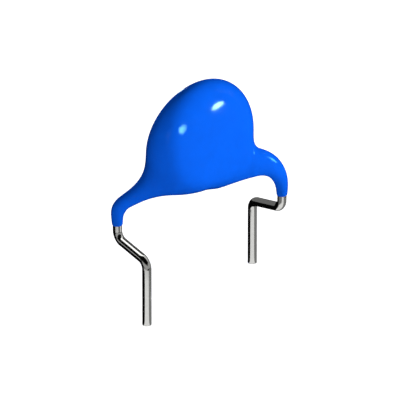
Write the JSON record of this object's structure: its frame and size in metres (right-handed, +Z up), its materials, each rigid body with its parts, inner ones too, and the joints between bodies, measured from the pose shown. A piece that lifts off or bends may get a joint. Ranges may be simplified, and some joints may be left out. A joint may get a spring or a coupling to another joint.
{
  "type": "ceramic disc capacitor",
  "caption": "Radial ceramic disc capacitor with a glossy blue epoxy coating and kinked, cropped leads for through-hole boards.",
  "frame": {"origin": "midway between the two pins, on the board's top face, where the pins enter their holes", "axes": "+Z up, away from the board; +X from the left pin to the right pin; the coated disc stands in the XZ plane, with its front face towards -Y"},
  "size_m": [0.0108, 0.0037, 0.0138],
  "materials": {
    "ceramic": "matt fired titanate ceramic",
    "silver": "matt fired silver",
    "solder": "smooth grey solder",
    "tinned_wire": "bright tinned wire",
    "blue_epoxy": "glossy dipped epoxy"
  },
  "bodies": {
    "root": {"ceramic_disc": "ceramic", "electrode_front": "silver", "electrode_back": "silver", "solder_front": "solder", "solder_back": "solder", "lead_right": "tinned_wire", "lead_left": "tinned_wire", "coating": "blue_epoxy"}
  },
  "joints": []
}
